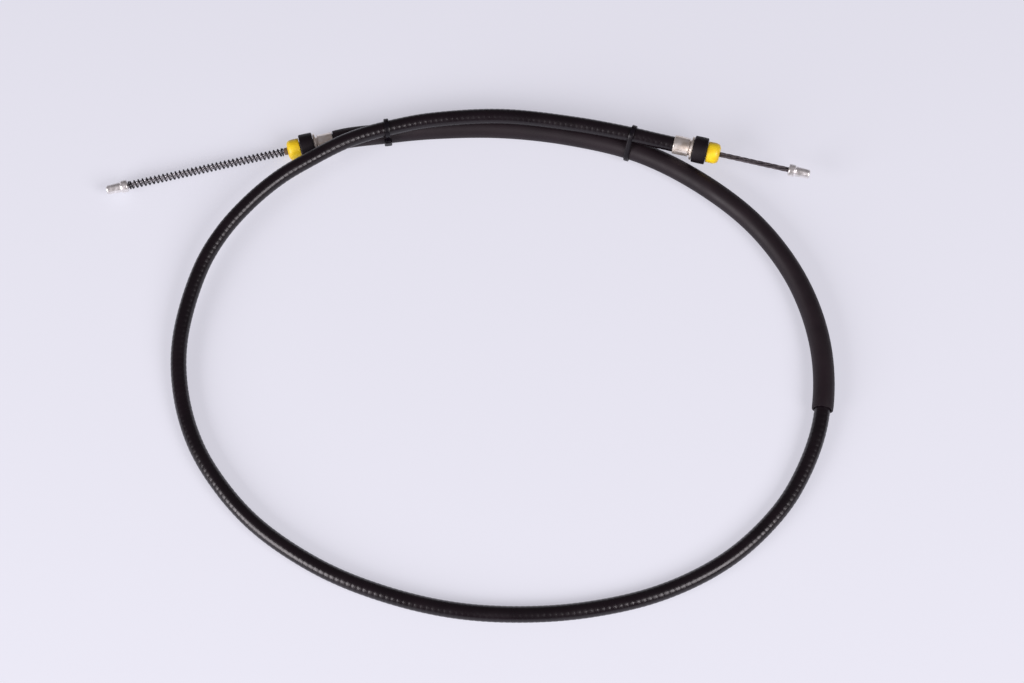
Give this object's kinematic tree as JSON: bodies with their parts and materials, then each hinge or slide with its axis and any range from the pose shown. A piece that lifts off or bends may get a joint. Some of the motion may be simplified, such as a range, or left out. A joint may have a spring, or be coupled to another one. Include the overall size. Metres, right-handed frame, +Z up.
{
  "type": "parking brake cable",
  "caption": "Coiled parking brake cable: black conduit with a loose sleeve, crimped end fittings with rubber rings and yellow caps, a return spring and pressed-on nipples.",
  "frame": {"origin": "centre of the coil's bounding box, on the plane it lies on", "axes": "+Z up from the plane the coil lies on, +X from the wheel end side towards the lever end side, along the coil's longest extent"},
  "size_m": [0.42, 0.3084, 0.0251],
  "materials": {
    "conduit_plastic": "glossy black, faintly ribbed by the wire under it",
    "sleeve_plastic": "satin brownish black",
    "spring_wire": "dark coated spring steel",
    "liner_plastic": "smooth olive brown low-friction plastic",
    "cable_steel": "dark stranded wire with lighter strands",
    "zinc_plate": "warm pale zinc plate, uneven from the crimp",
    "nipple_steel": "bright turned steel",
    "ring_rubber": "matt black",
    "yellow_plastic": "satin yellow",
    "tie_nylon": "satin black nylon"
  },
  "bodies": {
    "conduit": {"conduit_jacket": "conduit_plastic", "conduit_armour": "spring_wire", "conduit_liner": "liner_plastic", "inner_cable_middle": "cable_steel", "protective_sleeve": "sleeve_plastic", "wheel_end_ferrule": "zinc_plate", "wheel_end_ring": "ring_rubber", "wheel_end_cap": "yellow_plastic", "return_spring": "spring_wire", "lever_end_ferrule": "zinc_plate", "lever_end_ring": "ring_rubber", "lever_end_cap": "yellow_plastic", "zip_tie_left": "tie_nylon", "zip_tie_right": "tie_nylon"},
    "lever_end": {"lever_end_cable": "cable_steel", "lever_end_nipple": "nipple_steel"},
    "wheel_end": {"wheel_end_cable": "cable_steel", "wheel_end_nipple": "nipple_steel"}
  },
  "joints": [
    {"name": "lever_end_pull", "type": "slide", "parent": "conduit", "child": "lever_end", "axis": [0.9683, -0.2496, 0.0001], "range_m": [0, 0.03]},
    {"name": "wheel_end_slide", "type": "slide", "parent": "conduit", "child": "wheel_end", "axis": [0.9713, 0.2376, 0.0087], "range_m": [0, 0.03], "stiffness_N_per_m": 1270, "deforming": ["return_spring"]}
  ],
  "couplings": [
    {"joint": "wheel_end_slide", "follows": "lever_end_pull", "ratio": 1}
  ]
}
